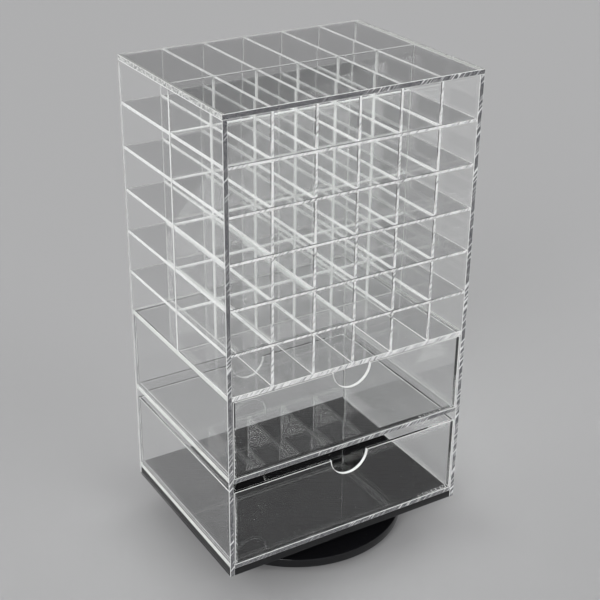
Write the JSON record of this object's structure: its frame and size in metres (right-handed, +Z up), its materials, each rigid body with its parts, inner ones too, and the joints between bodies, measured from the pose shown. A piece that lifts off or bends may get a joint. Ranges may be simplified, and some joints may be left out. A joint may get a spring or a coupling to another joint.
{
  "type": "rotating lipstick organizer",
  "caption": "Clear acrylic tower of square cells on both sides over two pull-through drawers, turning on a round black base with a ball-bearing turntable.",
  "frame": {"origin": "on the table, at the foot of the turning axis, in the middle of the base", "axes": "+Z up along the turning axis; the front faces -Y with the drawers and cells open to -Y and +Y; +X to the right"},
  "size_m": [0.165, 0.1396, 0.3048],
  "materials": {
    "clear_acrylic": "clear cast sheet with polished faces and sawn edges",
    "black_acrylic": "glossy black sheet",
    "aluminium": "turned, satin",
    "ball_steel": "polished and oiled",
    "nylon": "natural, satin",
    "rubber": "matt"
  },
  "bodies": {
    "base": {"base_disc": "black_acrylic", "rubber_feet": "rubber", "bearing_outer_ring": "aluminium"},
    "tower": {"top_panel": "clear_acrylic", "left_side_panel": "clear_acrylic", "right_side_panel": "clear_acrylic", "centre_partition": "clear_acrylic", "cell_floor": "clear_acrylic", "drawer_shelf": "clear_acrylic", "bottom_panel": "clear_acrylic", "base_plate": "black_acrylic", "front_shelf_1": "clear_acrylic", "front_shelf_2": "clear_acrylic", "front_shelf_3": "clear_acrylic", "front_shelf_4": "clear_acrylic", "front_shelf_5": "clear_acrylic", "front_divider_1": "clear_acrylic", "front_divider_2": "clear_acrylic", "front_divider_3": "clear_acrylic", "front_divider_4": "clear_acrylic", "front_divider_5": "clear_acrylic", "rear_shelf_1": "clear_acrylic", "rear_shelf_2": "clear_acrylic", "rear_shelf_3": "clear_acrylic", "rear_shelf_4": "clear_acrylic", "rear_shelf_5": "clear_acrylic", "rear_divider_1": "clear_acrylic", "rear_divider_2": "clear_acrylic", "rear_divider_3": "clear_acrylic", "rear_divider_4": "clear_acrylic", "rear_divider_5": "clear_acrylic", "bearing_inner_ring": "aluminium"},
    "ball_ring": {"bearing_balls": "ball_steel", "ball_cage": "nylon"},
    "upper_drawer": {"upper_drawer_front": "clear_acrylic", "upper_drawer_back": "clear_acrylic", "upper_drawer_left_wall": "clear_acrylic", "upper_drawer_right_wall": "clear_acrylic", "upper_drawer_floor": "clear_acrylic"},
    "lower_drawer": {"lower_drawer_front": "clear_acrylic", "lower_drawer_back": "clear_acrylic", "lower_drawer_left_wall": "clear_acrylic", "lower_drawer_right_wall": "clear_acrylic", "lower_drawer_floor": "clear_acrylic"}
  },
  "joints": [
    {"name": "tower_turn", "type": "hinge", "parent": "base", "child": "tower", "pos_m": [0, 0, 0.0153], "axis": [0, 0, 1], "continuous": true},
    {"name": "ball_ring_turn", "type": "hinge", "parent": "base", "child": "ball_ring", "pos_m": [0, 0, 0.0153], "axis": [0, 0, 1], "continuous": true},
    {"name": "upper_drawer_slide", "type": "slide", "parent": "tower", "child": "upper_drawer", "axis": [0, -1, 0], "range_m": [-0.1, 0.1]},
    {"name": "lower_drawer_slide", "type": "slide", "parent": "tower", "child": "lower_drawer", "axis": [0, -1, 0], "range_m": [-0.1, 0.1]}
  ],
  "couplings": [
    {"joint": "ball_ring_turn", "follows": "tower_turn", "ratio": 0.5}
  ]
}
